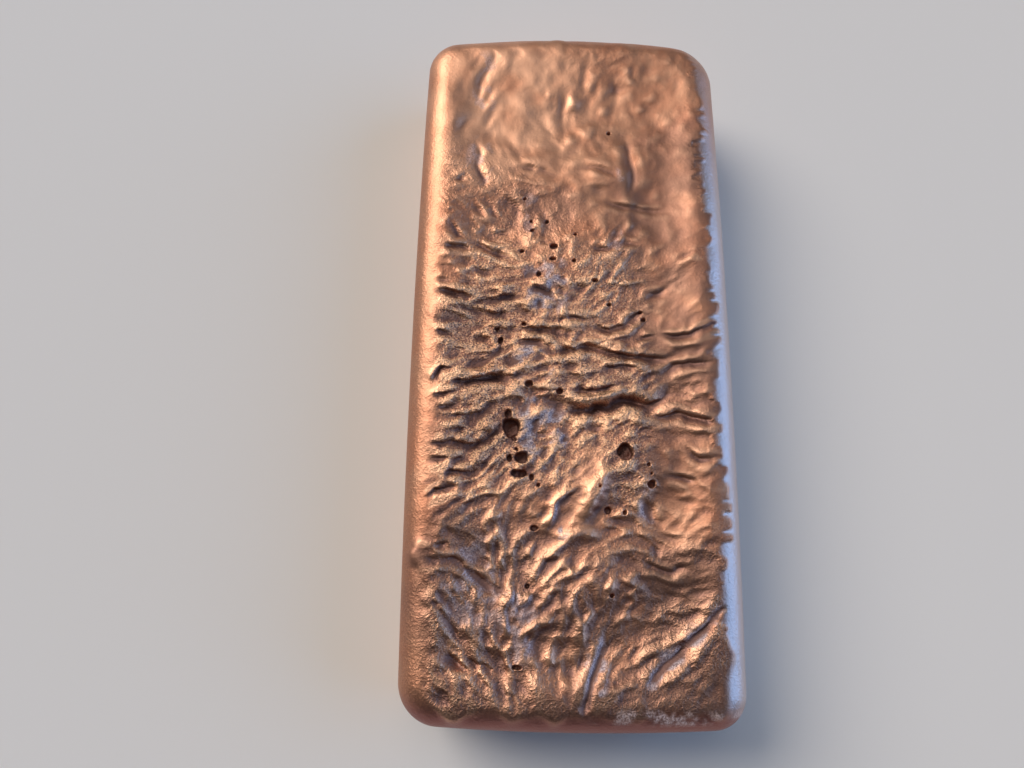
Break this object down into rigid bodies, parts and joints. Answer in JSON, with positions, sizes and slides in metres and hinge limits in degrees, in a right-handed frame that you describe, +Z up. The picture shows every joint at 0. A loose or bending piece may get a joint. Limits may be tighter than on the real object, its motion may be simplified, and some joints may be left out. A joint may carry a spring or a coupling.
{
  "type": "copper ingot",
  "caption": "Cast copper bar with a flat underside, drafted walls, rounded corners, a smooth rim and a dished, crinkled pour face with folds and gas holes.",
  "frame": {"origin": "centre of the flat underside, on the surface the bar rests on", "axes": "+X across the bar, +Y along its length towards the more bowed end, +Z up through the pour face"},
  "size_m": [0.05, 0.112, 0.018],
  "materials": {
    "cast_copper": "as cast: satin copper with a fine sandy grain, crinkled on the pour face"
  },
  "bodies": {
    "root": {"ingot": "cast_copper"}
  },
  "joints": []
}
